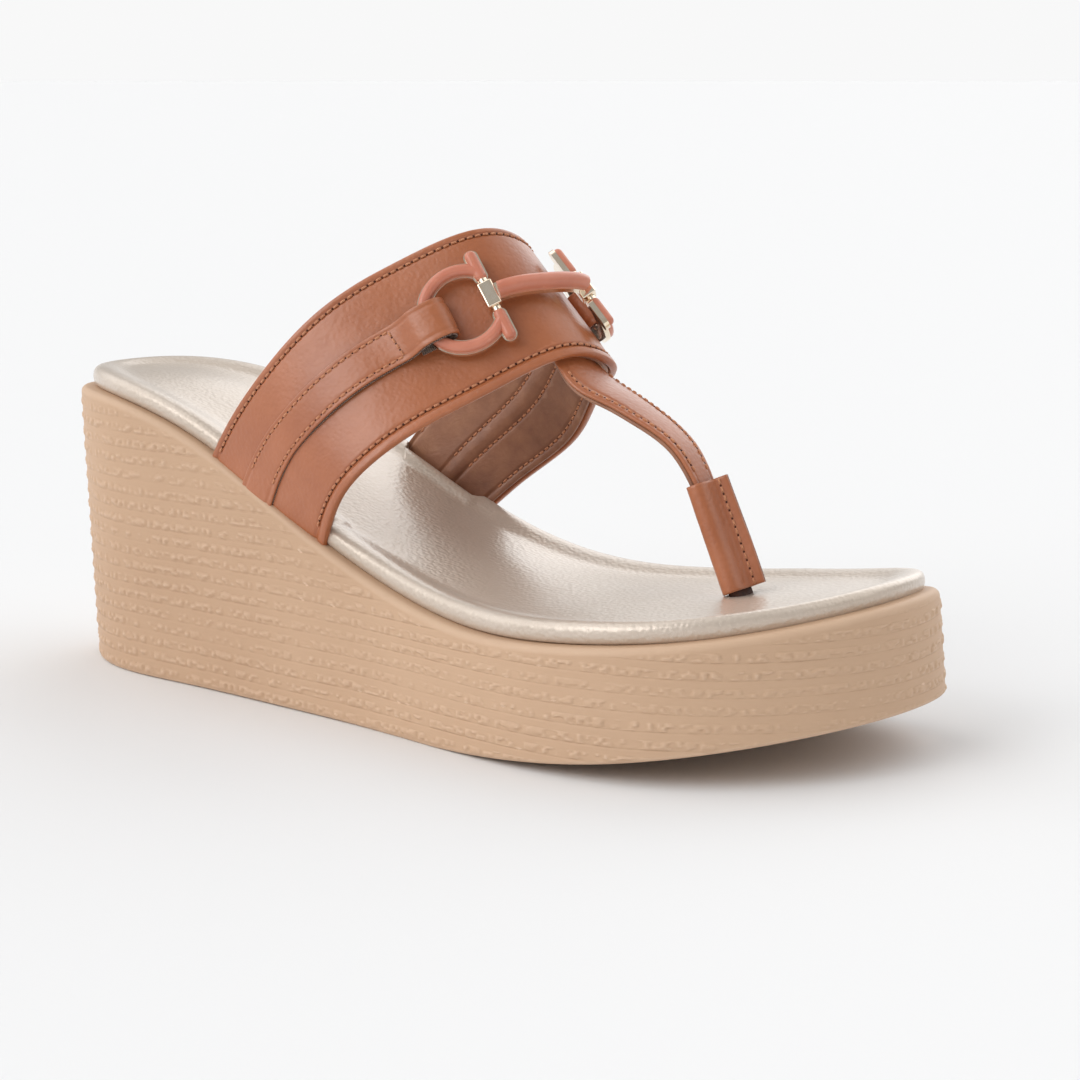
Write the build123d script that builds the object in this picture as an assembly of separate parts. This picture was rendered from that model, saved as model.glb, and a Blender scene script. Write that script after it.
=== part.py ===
from build123d import *
import math
import os

# Wedge sandal for the right foot, about EU 38. Lengths are in millimetres.
# +X points to the toe, +Y to the big-toe side, +Z up; the origin is on the ground under the middle.

# ---- sole unit ----
# Ground outline, from the heel round the little-toe side to the toe and back.
GROUND_OUTLINE = [
    (-120, 0), (-113, -16), (-98, -26), (-70, -30.5), (-35, -34.5), (0, -39.5), (35, -46.5),
    (65, -48), (90, -40.5), (108, -25), (118, -6), (120, 12), (116, 27), (106, 37), (88, 41.5),
    (62, 41), (32, 34.5), (0, 31), (-35, 32), (-70, 29.5), (-98, 23), (-113, 14.5),
]
SHOE_HALF_LENGTH = 120
# How far the side wall stands outside the ground outline, at the heel and at the toe.
WALL_AT_GROUND = (0.0, 1.1)
WALL_AT_LOFT_TOP = (3.5, -5.8)
WALL_AT_TOP_LINE = (3.1, -2.2)
LOFT_TOP = 80
TOP_LINE = [(-126, 71.5), (-90, 70.7), (-60, 61.3), (-30, 46.9), (0, 34.7), (30, 28.6),
            (60, 29.2), (90, 32.4), (126, 39.8)]
TOE_SPRING = [(20, 0), (45, 1.4), (70, 4.2), (95, 8.3), (126, 14.2)]
SOLE_LIP_RADIUS = 1.6
TREAD_GROOVE_WIDTH = 2.2
TREAD_GROOVE_DEPTH = 1.0
TREAD_GROOVE_PITCH = 8.0
TREAD_GROOVE_INSET = 8.0
TREAD_GROOVES = [(-106, 6), (-14, 5)]

# ---- insole board and footbed, as heights above the sole's top line ----
FIT_GAP = 0.15
BOARD_INSET = 7.0
BOARD_BOTTOM, BOARD_TOP = -1.9, -0.15
FOOTBED_INSET = 3.4
FOAM_INSET = 4.6
FOAM_TOP = 3.0
COVER_TOP = 5.0
COVER_EDGE_RADIUS = 1.0
DISH_INSET = 11.0
DISH_DEPTH = 1.2

# ---- instep band, outer face, from the little-toe side foot to the big-toe side foot ----
BAND_REAR_EDGE = [(-61.5, -30.4, 53), (-58, -31.2, 59.5), (-42.5, -33.6, 78.5), (-25.5, -27, 98),
                  (-9.5, -13.5, 110.5), (5, 1, 117), (6, 14, 112.5), (-3, 25, 101),
                  (-19, 32.3, 83.5), (-38, 32.8, 64.5), (-48.5, 31, 51)]
BAND_FRONT_EDGE = [(-20.5, -34, 36.5), (-18.5, -34.8, 43), (-10.5, -37.4, 56), (3.5, -30, 70),
                   (18, -15, 80.5), (32, 2, 88), (33, 13, 84.5), (22.5, 24, 76.5),
                   (9, 32.5, 62.5), (-7, 33.8, 50.8), (-20.5, 31.4, 39)]
BAND_LENGTH = 190
BAND_WIDTH = 40
# Depths of the layers, measured outwards from the band's outer face.
BAND_OUTER = (-1.1, 0.0)
BAND_STIFFENER = (-1.55, -1.15)
BAND_LINING = (-2.6, -1.6)
STIFFENER_MARGIN = 0.07
BAND_SLOT = (-2.75, 0.15)

# ---- leather tabs that hold the rings ----
TAB_THICKNESS = 1.1
TAB_LIFT = 0.85
TAB_AT_FOOT, TAB_AT_RING = 0.43, 0.5
# Length at a tab's foot that stays straight, so that it fits its slot in the sole.
TAB_BURIED = 18
TAB_HALF_WIDTH = 0.125
LATERAL_RING_AT, MEDIAL_RING_AT = 0.41, 0.59
# Middle of the leather in the ring's plane: over the ring's back, down inside it and back under.
TAB_LOOP = [(-26, -0.95), (-19.5, -0.7), (-15, 1.4), (-12.3, 3.4), (-8.8, 4.1), (-5.0, 3.4),
            (-3.8, 1.2), (-4.9, -0.8), (-8, -1.15), (-13.5, -1.1)]
# Along the band, the tab is laid by the ring's plane up to here and by the band from there on.
TAB_LEAVES_RING, TAB_MEETS_BAND = -14, -22

# ---- rings and bar, in a ring's own plane: x towards the bar, z off the band ----
RING_ACROSS = 0.5
RING_SEAT = 2.2
RING_RADIUS = 9.6
RING_WIDTH = 3.6
RING_BASE = 1.3
CAP_WIDTH = 2.9
CAP_HEIGHT = 1.7
CAP_ROUNDING = 1.2
CHEEK_OFFSET = 7.0
CHEEK_FROM, CHEEK_TO = 3.6, 12.6
ROD_RADIUS = 1.1
ROD_HEIGHT = 1.6
ROD_HALF = 5.0
SLEEVE_SIZE = (3.6, 6.6, 3.8)
SLEEVE_CLEARANCE = 0.08
BAR_WIDTH = 4.6
BAR_CAP_WIDTH = 4.0
BAR_RAIL = (-0.8, 0.6)
BAR_CAP_HEIGHT = 2.5
BAR_RISE = 3.4

# ---- toe strap: tucked under the band, then free; side view of its upper face ----
TOE_STRAP_AT = 0.515
TOE_STRAP_TUCK_HALF = 0.052
TOE_STRAP_TUCK = 3.0
TOE_STRAP_TUCKED = (0.78, 0.97)
TOE_STRAP_Y = 4.0
TOE_STRAP_PATH = [(34, 82.4), (41, 79), (48.3, 75.4), (54.3, 72), (58.9, 68.3), (62, 64.3),
                  (63.6, 61.6), (64.9, 58.9)]
TOE_STRAP_HALF_WIDTHS = [8.7, 7.6, 6.6, 5.6, 4.9, 4.4, 4.1, 3.8]
TOE_STRAP_BOW = 0.022
TOE_STRAP_OUTER = (-1.1, 0.0)
TOE_STRAP_LINING = (-2.3, -1.15)

# ---- toe post and its wrapped sleeve, along the line from the strap to the footbed ----
POST_TOP = (63.4, 59.6)
POST_FOOT = (74.4, 34.3)
SLEEVE_WALL = 1.0
SLEEVE_GAP = 1.1
SLEEVE_OUTSIDE = (10.8, 5.2)
POST_SIZE = (8.2, 2.6)
POST_HOLE_GAP = 0.3
FLANGE_REACH = 3.4
FLANGE_THICKNESS = 1.0
FLANGE_TURN = 25
BACKING_THICKNESS = 0.5
ANCHOR_SIZE = (14, 10, 1.6)


def spaced(first, last, count):
    """Evenly spaced numbers from first to last."""
    return [first + (last - first) * i / (count - 1) for i in range(count)]


def blend(values, share):
    """Value part-way along a list, by straight lines between its entries."""
    place = min(max(share, 0), 1) * (len(values) - 1)
    index = min(int(place), len(values) - 2)
    return values[index] + (values[index + 1] - values[index]) * (place - index)


def sole_outline(shifts, height):
    """Face inside the ground outline after each point moves out by the heel-to-toe shifts."""
    moved = []
    for i, (x, y) in enumerate(GROUND_OUTLINE):
        before = GROUND_OUTLINE[i - 1]
        after = GROUND_OUTLINE[(i + 1) % len(GROUND_OUTLINE)]
        along = Vector(after[0] - before[0], after[1] - before[1]).normalized()
        shift = blend(shifts, (x + SHOE_HALF_LENGTH) / (2 * SHOE_HALF_LENGTH))
        moved.append((x + along.Y * shift, y - along.X * shift, height))
    return make_face(Spline(*moved, periodic=True))


def column(inset):
    """Tall block with upright walls, inset from the sole's top rim."""
    shifts = [shift - inset for shift in WALL_AT_TOP_LINE]
    return extrude(sole_outline(shifts, -10), 150, dir=(0, 0, 1))


def top_line(lift):
    """Side view of the sole's top, raised by lift."""
    return Spline(*[(x, 0, z + lift) for x, z in TOP_LINE])


def side_block(lower, upper):
    """Block right across the shoe between two side-view curves, given as lists of edges."""
    ends = [Line(lower[0] @ 0, upper[0] @ 0), Line(lower[-1] @ 1, upper[-1] @ 1)]
    return extrude(make_face(lower + upper + ends), 80, dir=(0, 1, 0), both=True)


def layer(low, high, inset):
    """Footbed layer between two heights above the top line."""
    return column(inset) & side_block([top_line(low)], [top_line(high)])


def top_face(solid):
    """The solid's highest face."""
    return max(solid.faces(), key=lambda face: face.center().Z)


def strip(point, depths, s_span, t_span, rows, columns):
    """Closed strip between two depths below the surface point(s, t).

    Either depth may be a function of s, which gives the strip a shaped section.
    """

    def raised(s, t, depth):
        step = 1e-3
        across = point(s + step, t) - point(s - step, t)
        along = point(s, t + step) - point(s, t - step)
        lift = depth(s) if callable(depth) else depth
        return point(s, t) + across.cross(along).normalized() * lift

    skins = []
    for depth in depths:
        grid = [[raised(s, t, depth) for t in spaced(*t_span, columns)]
                for s in spaced(*s_span, rows)]
        skins.append(Face.make_surface_from_array_of_points(grid, tol=0.01))
    walls = []
    for edge in skins[0].edges():
        partner = min(skins[1].edges(), key=lambda other: (other @ 0.5 - edge @ 0.5).length)
        walls.append(Face.make_surface_from_curves(edge, partner))
    return Solid(Shell(skins + walls))


REAR_CURVE = Edge.make_spline([Vector(p) for p in BAND_REAR_EDGE])
FRONT_CURVE = Edge.make_spline([Vector(p) for p in BAND_FRONT_EDGE])


def band_point(s, t):
    """Point on the band's outer face: s from rear to front, t from foot to foot."""
    rear, front = REAR_CURVE @ t, FRONT_CURVE @ t
    return rear + (front - rear) * s


def band_plane(s, t, lift, forward):
    """Plane touching the band, raised by lift, with x along the band in the forward sense."""
    step = 1e-3
    across = band_point(s + step, t) - band_point(s - step, t)
    along = band_point(s, t + step) - band_point(s, t - step)
    normal = across.cross(along).normalized()
    return Plane(band_point(s, t) + normal * lift, x_dir=along * forward, z_dir=normal)


def band_layer(depths, margin):
    """One leather layer of the band; margin keeps hidden layers off the rim."""
    span = (margin, 1 - margin)
    return strip(band_point, depths, span, span if margin else (0.02, 0.98), 5, 41)


def tab(ring_at, foot_at):
    """Leather tab from the sole up the band and round the back of a ring."""
    forward = 1 if ring_at > foot_at else -1
    foot_distance = (foot_at - ring_at) * BAND_LENGTH * forward
    flat = TAB_LIFT - RING_SEAT
    path = Spline((foot_distance, flat), (foot_distance * 0.6, flat), *TAB_LOOP)
    ring = band_plane(RING_ACROSS, ring_at, RING_SEAT, forward)

    def tab_point(s, t):
        place = path @ t
        free = place.X - foot_distance - TAB_BURIED
        share = min(max(free / (-foot_distance - TAB_BURIED), 0), 1)
        middle = TAB_AT_FOOT + (TAB_AT_RING - TAB_AT_FOOT) * share
        along = ring_at + place.X * forward / BAND_LENGTH
        on_band = band_plane(middle + s * forward, along, place.Y + RING_SEAT, 1).origin
        sideways = -s * BAND_WIDTH
        at_ring = ring.origin + ring.x_dir * place.X + ring.y_dir * sideways + ring.z_dir * place.Y
        reach = (place.X - TAB_LEAVES_RING) / (TAB_MEETS_BAND - TAB_LEAVES_RING)
        ease = min(max(reach, 0), 1)
        return at_ring + (on_band - at_ring) * (ease * ease * (3 - 2 * ease))

    half = (-TAB_THICKNESS / 2, TAB_THICKNESS / 2)
    return strip(tab_point, half, (-TAB_HALF_WIDTH, TAB_HALF_WIDTH), (0, 1), 3, 81)


def tab_slot(ring_at):
    """Cutter for the slot in the sole that a tab's foot stands in."""
    t_span = (0, 0.12) if ring_at < 0.5 else (0.88, 1)
    half = TAB_HALF_WIDTH + 0.006
    depths = (-0.05, TAB_LIFT + TAB_THICKNESS / 2 + 2 * FIT_GAP)
    return strip(band_point, depths, (TAB_AT_FOOT - half, TAB_AT_FOOT + half), t_span, 3, 9)


def ring_sketch(width):
    """Horseshoe ring whose ends run out sideways as two round-ended cheeks."""
    arc = Circle(RING_RADIUS + width / 2) - Circle(RING_RADIUS - width / 2)
    arc -= Pos(CHEEK_OFFSET + 20, 0) * Rectangle(40, 40)
    trim = (RING_WIDTH - width) / 2
    length = CHEEK_TO - CHEEK_FROM - 2 * trim
    for side in (-1, 1):
        place = Pos(CHEEK_OFFSET, side * (CHEEK_TO + CHEEK_FROM) / 2)
        arc += place * Rot(0, 0, 90) * SlotOverall(length, width)
    return arc


def ring_frame(plane):
    """Gilt base of a ring with the round rod that the bar turns on."""
    frame = extrude(ring_sketch(RING_WIDTH), RING_BASE)
    rod = Pos(CHEEK_OFFSET, 0, ROD_HEIGHT) * Rot(90, 0, 0) * Cylinder(ROD_RADIUS, 2 * ROD_HALF)
    return plane * (frame + rod)


def ring_cap(plane):
    """Resin cap with a rounded top that sits on the ring's base."""
    cap = Pos(0, 0, RING_BASE) * extrude(ring_sketch(CAP_WIDTH), CAP_HEIGHT)
    cap = fillet(cap.faces().sort_by(Axis.Z)[-1].edges(), CAP_ROUNDING)
    rod = Pos(CHEEK_OFFSET, 0, ROD_HEIGHT) * Rot(90, 0, 0) * Cylinder(ROD_RADIUS, 2 * ROD_HALF)
    return plane * (cap - rod)


def rod_plane(plane):
    """Plane at the middle of a ring's rod, x towards the bar."""
    return Plane(plane.origin + plane.x_dir * CHEEK_OFFSET + plane.z_dir * ROD_HEIGHT,
                 x_dir=plane.x_dir, z_dir=plane.z_dir)


def bar_surface(lateral, medial):
    """Function giving points of the bar's middle surface between two rod planes."""
    top = band_plane(RING_ACROSS, (LATERAL_RING_AT + MEDIAL_RING_AT) / 2, 0, 1)
    span = (medial.origin - lateral.origin).length
    crown = (lateral.origin + medial.origin) / 2 + top.z_dir * BAR_RISE
    path = Edge.make_spline([lateral.origin, crown, medial.origin],
                            tangents=[lateral.x_dir * span, medial.x_dir * -span])
    sideways = top.y_dir * -1

    def bar_point(s, t):
        return path @ t + sideways * s

    return bar_point


def bar_parts(lateral, medial):
    """Gilt rail with a sleeve at each end, and the rounded resin cap on it."""
    bar_point = bar_surface(lateral, medial)
    half, cap_half = BAR_WIDTH / 2, BAR_CAP_WIDTH / 2
    rail = strip(bar_point, BAR_RAIL, (-half, half), (0.0, 1.0), 3, 25)
    blocks = []
    for plane in (lateral, medial):
        block = fillet(Box(*SLEEVE_SIZE).edges(), 0.4)
        blocks.append(plane * block)
        bore = Rot(90, 0, 0) * Cylinder(ROD_RADIUS + SLEEVE_CLEARANCE, 2 * SLEEVE_SIZE[1])
        rail = rail - plane * bore
        blocks[-1] -= plane * bore
    frame = rail + blocks[0] + blocks[1]

    def crown_height(s):
        share = min(abs(s) / cap_half, 1)
        return BAR_RAIL[1] + 0.3 + (BAR_CAP_HEIGHT - 0.3) * math.sqrt(1 - share ** 2)

    cap = strip(bar_point, (BAR_RAIL[1], crown_height), (-cap_half, cap_half), (0.08, 0.92), 15, 25)
    return frame, cap - frame


def toe_strap_line(side):
    """Lengthwise line on the toe strap's upper face: side is -1, 0 or 1 across it."""
    tucked = [band_plane(s, TOE_STRAP_AT + side * TOE_STRAP_TUCK_HALF, -TOE_STRAP_TUCK, 1).origin
              for s in TOE_STRAP_TUCKED]
    free = []
    for i, (x, z) in enumerate(TOE_STRAP_PATH):
        half = TOE_STRAP_HALF_WIDTHS[i]
        bow = TOE_STRAP_BOW * (1 - i / (len(TOE_STRAP_PATH) - 1)) * (side * half) ** 2
        free.append(Vector(x, TOE_STRAP_Y + side * half, z - bow))
    return Edge.make_spline(tucked + free)


STRAP_LINES = [toe_strap_line(side) for side in (1, 0, -1)]


def toe_strap_point(s, t):
    """Point on the toe strap's upper face: s from -1 to 1 across, t from band to post."""
    inner, middle, outer = [line @ t for line in STRAP_LINES]
    return inner * (s * s - s) / 2 + middle * (1 - s * s) + outer * (s * s + s) / 2


def post_plane(lift):
    """Plane across the toe post: x to the big-toe side, z up the post, lift above its foot."""
    top = Vector(POST_TOP[0], TOE_STRAP_Y, POST_TOP[1])
    foot = Vector(POST_FOOT[0], TOE_STRAP_Y, POST_FOOT[1])
    up = (top - foot).normalized()
    return Plane(foot + up * lift, x_dir=(0, 1, 0), z_dir=up)


def post_length():
    """Length of the sleeve along the post."""
    return math.dist(POST_TOP, POST_FOOT)


def sleeve():
    """Leather wrapped round the post, its two edges closed as one flange."""
    width, depth = SLEEVE_OUTSIDE
    wrap = SlotOverall(width, depth)
    flange = Rot(0, 0, -90 + FLANGE_TURN) * Pos(depth / 2 + FLANGE_REACH / 2, 0)
    wrap += flange * Rectangle(FLANGE_REACH + 2, FLANGE_THICKNESS)
    wrap -= SlotOverall(width - 2 * SLEEVE_WALL, depth - 2 * SLEEVE_WALL)
    return extrude(post_plane(SLEEVE_GAP) * wrap, post_length() - SLEEVE_GAP)


def flange_backing():
    """Woven backing strip on the far side of the sleeve's flange."""
    width, depth = SLEEVE_OUTSIDE
    away = (FLANGE_THICKNESS + BACKING_THICKNESS) / 2
    place = Rot(0, 0, -90 + FLANGE_TURN) * Pos(depth / 2 + FLANGE_REACH / 2 + 1, away)
    return extrude(post_plane(SLEEVE_GAP) * place * Rectangle(FLANGE_REACH, BACKING_THICKNESS),
                   post_length() - SLEEVE_GAP)


def post_core(anchor_level):
    """Flat core of the toe post, from the strap's end down to the anchor."""
    core = extrude(post_plane(-8) * SlotOverall(*POST_SIZE), post_length() + 6)
    return core & side_block([top_line(anchor_level)], [top_line(60)])


def post_hole():
    """Cutter for the hole that the toe post passes through."""
    size = [side + 2 * POST_HOLE_GAP for side in POST_SIZE]
    return extrude(post_plane(-12) * SlotOverall(*size), 20)


def make_sole(slots, tab_slots, hole):
    """Moulded wedge sole with its tread, board recess, strap slots and post pocket."""
    wall = loft([sole_outline(WALL_AT_GROUND, 0), sole_outline(WALL_AT_LOFT_TOP, LOFT_TOP)],
                ruled=True)
    spring = Spline(*[(x, 0, z) for x, z in TOE_SPRING], tangents=[(1, 0, 0), (1, 0, 0.19)])
    ground = [Line((-126, 0, 0), spring @ 0), spring]
    sole = wall & side_block(ground, [top_line(0)])
    sole = fillet(top_face(sole).edges(), SOLE_LIP_RADIUS)
    sole -= layer(BOARD_BOTTOM - FIT_GAP, 5, BOARD_INSET)
    for first, count in TREAD_GROOVES:
        for i in range(count):
            place = Pos(first + i * TREAD_GROOVE_PITCH, 0, 0)
            bar = place * Box(TREAD_GROOVE_WIDTH, 200, 2 * TREAD_GROOVE_DEPTH)
            sole -= bar & extrude(sole_outline([-TREAD_GROOVE_INSET] * 2, -5), 10, dir=(0, 0, 1))
    anchor_pocket = anchor(POST_HOLE_GAP)
    for cutter in slots + tab_slots + [hole, anchor_pocket]:
        sole -= cutter
    return sole


def anchor(gap):
    """Plate under the insole board that the toe post is fixed to."""
    length, width, height = ANCHOR_SIZE
    lower = BOARD_BOTTOM - FIT_GAP - height
    plate = side_block([top_line(lower - gap)], [top_line(BOARD_BOTTOM - FIT_GAP + gap)])
    foot = post_plane(0).origin
    return plate & Pos(foot.X + 1.5, foot.Y, foot.Z) * Box(length + 2 * gap, width + 2 * gap, 40)


def footbed_cover():
    """Padded footbed's leather cover: a dished top with walls down to the sole."""
    block = layer(FIT_GAP, COVER_TOP, FOOTBED_INSET)
    block = fillet(top_face(block).edges(), COVER_EDGE_RADIUS)
    block -= layer(COVER_TOP - DISH_DEPTH, COVER_TOP + 20, DISH_INSET)
    return block - layer(0, FOAM_TOP + FIT_GAP, FOAM_INSET - FIT_GAP)


def make_parts():
    """Every node of the sandal by name."""
    band_slot = strip(band_point, BAND_SLOT, (-0.006, 1.006), (0, 1), 5, 41)
    tabs = {"lateral_tab": tab(LATERAL_RING_AT, 0.03), "medial_tab": tab(MEDIAL_RING_AT, 0.97)}
    tab_slots = [tab_slot(LATERAL_RING_AT), tab_slot(MEDIAL_RING_AT)]
    cutters = [band_slot] + tab_slots
    hole = post_hole()

    lateral = band_plane(RING_ACROSS, LATERAL_RING_AT, RING_SEAT, 1)
    medial = band_plane(RING_ACROSS, MEDIAL_RING_AT, RING_SEAT, -1)
    bar_frame, bar_cap = bar_parts(rod_plane(lateral), rod_plane(medial))

    parts = {
        "wedge_sole": make_sole([band_slot], tab_slots, hole),
        "insole_board": layer(BOARD_BOTTOM, BOARD_TOP, BOARD_INSET + FIT_GAP),
        "footbed_foam": layer(FIT_GAP, FOAM_TOP, FOAM_INSET),
        "footbed_cover": footbed_cover(),
        "band_outer": band_layer(BAND_OUTER, 0),
        "band_stiffener": band_layer(BAND_STIFFENER, STIFFENER_MARGIN),
        "band_lining": band_layer(BAND_LINING, 0),
        "toe_strap_outer": strip(toe_strap_point, TOE_STRAP_OUTER, (-1, 1), (0, 1), 5, 41),
        "toe_strap_lining": strip(toe_strap_point, TOE_STRAP_LINING, (-1, 1), (0, 1), 5, 41),
        "toe_post": post_core(BOARD_BOTTOM),
        "toe_post_anchor": anchor(0),
        "toe_post_sleeve": sleeve(),
        "sleeve_backing": flange_backing(),
        "lateral_ring_frame": ring_frame(lateral),
        "lateral_ring_cap": ring_cap(lateral),
        "medial_ring_frame": ring_frame(medial),
        "medial_ring_cap": ring_cap(medial),
        "bar_frame": bar_frame,
        "bar_cap": bar_cap,
    }
    for name in ("insole_board", "footbed_foam", "footbed_cover"):
        for cutter in cutters + [hole]:
            parts[name] -= cutter
    parts.update(tabs)
    return parts


if __name__ == "__main__":
    os.makedirs("parts", exist_ok=True)
    made = make_parts()
    whole = Compound(children=[Compound(part.solids()) for part in made.values()]).bounding_box()
    to_origin = Pos(-whole.center().X, -whole.center().Y, -whole.min.Z)
    for name, solid in made.items():
        export_step(to_origin * solid, f"parts/{name}.step")
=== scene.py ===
import bpy
import math
import numpy as np
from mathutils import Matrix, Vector


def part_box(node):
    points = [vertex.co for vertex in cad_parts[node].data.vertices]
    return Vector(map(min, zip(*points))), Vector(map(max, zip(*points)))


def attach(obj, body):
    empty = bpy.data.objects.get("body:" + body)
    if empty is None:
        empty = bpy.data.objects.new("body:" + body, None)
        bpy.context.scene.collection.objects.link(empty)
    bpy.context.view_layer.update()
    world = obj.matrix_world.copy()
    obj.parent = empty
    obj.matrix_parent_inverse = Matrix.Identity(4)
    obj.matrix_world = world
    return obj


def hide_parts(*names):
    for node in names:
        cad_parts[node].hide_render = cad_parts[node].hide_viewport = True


# Wedge sandal. Lengths below are in millimetres in the part's drawing, unless a name says metres.
# s runs across a strap from its rear edge to its front edge, t along it, depth is off its face.

MM = 0.001

# ---- the part's driving dimensions ----
GROUND_OUTLINE = [
    (-120, 0), (-113, -16), (-98, -26), (-70, -30.5), (-35, -34.5), (0, -39.5), (35, -46.5),
    (65, -48), (90, -40.5), (108, -25), (118, -6), (120, 12), (116, 27), (106, 37), (88, 41.5),
    (62, 41), (32, 34.5), (0, 31), (-35, 32), (-70, 29.5), (-98, 23), (-113, 14.5),
]
SHOE_HALF_LENGTH = 120
WALL_AT_GROUND = (0.0, 1.1)
WALL_AT_LOFT_TOP = (3.5, -5.8)
WALL_AT_TOP_LINE = (3.1, -2.2)
LOFT_TOP = 80
TOP_LINE = [(-126, 71.5), (-90, 70.7), (-60, 61.3), (-30, 46.9), (0, 34.7), (30, 28.6),
            (60, 29.2), (90, 32.4), (126, 39.8)]
TOE_SPRING = [(-130, 0), (0, 0), (20, 0), (45, 1.4), (70, 4.2), (95, 8.3), (126, 14.2)]
TREAD_GROOVE_WIDTH, TREAD_GROOVE_DEPTH, TREAD_GROOVE_PITCH = 2.2, 1.0, 8.0
TREAD_GROOVE_INSET = 8.0
TREAD_GROOVES = [(-106, 6), (-14, 5)]
BAND_REAR_EDGE = [(-61.5, -30.4, 53), (-58, -31.2, 59.5), (-42.5, -33.6, 78.5), (-25.5, -27, 98),
                  (-9.5, -13.5, 110.5), (5, 1, 117), (6, 14, 112.5), (-3, 25, 101),
                  (-19, 32.3, 83.5), (-38, 32.8, 64.5), (-48.5, 31, 51)]
BAND_FRONT_EDGE = [(-20.5, -34, 36.5), (-18.5, -34.8, 43), (-10.5, -37.4, 56), (3.5, -30, 70),
                   (18, -15, 80.5), (32, 2, 88), (33, 13, 84.5), (22.5, 24, 76.5),
                   (9, 32.5, 62.5), (-7, 33.8, 50.8), (-20.5, 31.4, 39)]
BAND_LENGTH, BAND_WIDTH = 190, 40
BAND_SPAN = (0.02, 0.98)
LATERAL_RING_AT, MEDIAL_RING_AT, RING_ACROSS, RING_SEAT = 0.41, 0.59, 0.5, 2.2
TAB_LIFT, TAB_AT_FOOT, TAB_AT_RING, TAB_HALF_WIDTH, TAB_BURIED = 0.85, 0.43, 0.5, 0.125, 18
TAB_LOOP = [(-26, -0.95), (-19.5, -0.7), (-15, 1.4), (-12.3, 3.4), (-8.8, 4.1), (-5.0, 3.4),
            (-3.8, 1.2), (-4.9, -0.8), (-8, -1.15), (-13.5, -1.1)]
TAB_LEAVES_RING, TAB_MEETS_BAND = -14, -22
# How far a tab's foot is pressed to the band, the length pressed and the length it fades over.
TAB_FOOT_PRESS, TAB_PRESS_LENGTH, TAB_PRESS_FADE = 0.35, 34, 20
TOE_STRAP_AT, TOE_STRAP_TUCK_HALF, TOE_STRAP_TUCK = 0.515, 0.052, 3.0
TOE_STRAP_TUCKED = (0.78, 0.97)
TOE_STRAP_Y = 4.0
TOE_STRAP_PATH = [(34, 82.4), (41, 79), (48.3, 75.4), (54.3, 72), (58.9, 68.3), (62, 64.3),
                  (63.6, 61.6), (64.9, 58.9)]
TOE_STRAP_HALF_WIDTHS = [8.7, 7.6, 6.6, 5.6, 4.9, 4.4, 4.1, 3.8]
TOE_STRAP_BOW = 0.022
POST_TOP, POST_FOOT = (63.4, 59.6), (74.4, 34.3)
ANCHOR_AT = (75.9, 4.0)
SLEEVE_GAP = 1.1
SLEEVE_OUTSIDE = (10.8, 5.2)
FLANGE_REACH, FLANGE_TURN = 3.4, 25

# ---- camera, light and floor ----
CAMERA_AT = (382.7, -512.5, 156.6)
CAMERA_TARGET = (21.53, 3.27, 42.2)
CAMERA_LENS = 88
# Lamps as (direction, full out to, gone by, strength), angles in degrees.
LAMPS = [
    ((-0.95, -0.35, 0.95), 18, 48, 1.2),
    ((-0.12, 0.87, 0.5), 14, 34, 1.7),
    ((0.62, 0.4, 0.75), 12, 40, 1.0),
    ((-0.27, -0.82, 0.5), 8, 25, 3.4),
]
AMBIENT, HORIZON = 0.38, 0.94
# The surroundings change from the horizon to the lamps between these heights.
HORIZON_FADE = (0.05, 0.17)
FLOOR_RADIUS_METRES = 20
FLOOR_COLOUR = (0.81, 0.812, 0.816)

# ---- the wall's moulded grain ----
WALL_STATIONS, WALL_ROWS = 1240, 200
WALL_LIP_RADIUS, WALL_FOOT_RADIUS = 1.6, 0.9
GRAIN_PITCH = 3.9
GRAIN_DEPTH = 0.46
GRAIN_WAVER = 0.7

# ---- the footbed's padding ----
# Section of its rim as (inset, height), from its underside to its level middle.
FOOTBED_PROFILE = [(1.0, 0.12), (0.4, 0.45), (0.05, 1.2), (-0.12, 2.2), (-0.05, 3.2), (0.3, 4.1),
                   (1.0, 4.75), (2.0, 5.05), (3.4, 5.1), (5.0, 4.85), (6.6, 4.4), (8.0, 4.0),
                   (9.4, 3.78), (11.0, 3.75), (13.5, 3.85), (16.5, 4.0)]
FOOTBED_INSET = 3.4
FOOTBED_MIDDLE, FOOTBED_CROWN, FOOTBED_END_FADE = 4.0, 0.55, 22
FOOTBED_SWELL, FOOTBED_DENTS = 0.22, 0.3
POST_DIMPLE_DEPTH, POST_DIMPLE_RADIUS = 0.7, 6.5
# Where the rim makes room for the band: side (-1 little toe, 1 big toe), from x, to x.
BAND_NOTCHES = [(-1, -56.3, -19), (1, -43, -16.8)]
BAND_NOTCH_DEPTH, BAND_NOTCH_FADE = 3.9, 1.6

# ---- leather layers, seams and stitches ----
SECTION_STEPS_PER_MM = 1.4
BAND_LEATHER, BAND_LINING = 1.1, 2.65
BAND_LINING_MARGIN, BAND_LINING_WIDTH = 0.7, BAND_WIDTH - 1.6
REAR_ROW, FRONT_ROW = 2.0, BAND_WIDTH - 3.2
LINING_ROWS = (2.2, 17.2, 23.8, BAND_WIDTH - 3.6)
TAB_LEATHER, TAB_BACKING, TAB_CROWN = 0.55, 0.41, 0.14
TAB_ROW = 3.7
TAB_SEAM_AT = -17.5
TOE_STRAP_LEATHER, TOE_STRAP_LINING, TOE_STRAP_ROW = 1.08, 2.3, 1.55
SLEEVE_LEATHER, SLEEVE_BACKING, FLANGE_HALF_GAP = 0.84, 0.55, 0.47
SLEEVE_ROW = 4.0
STITCH_PITCH = 2.0
STITCH_LENGTH = 1.6
STITCH_RADIUS = 0.3
HOLE_RADIUS = 0.26
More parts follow.
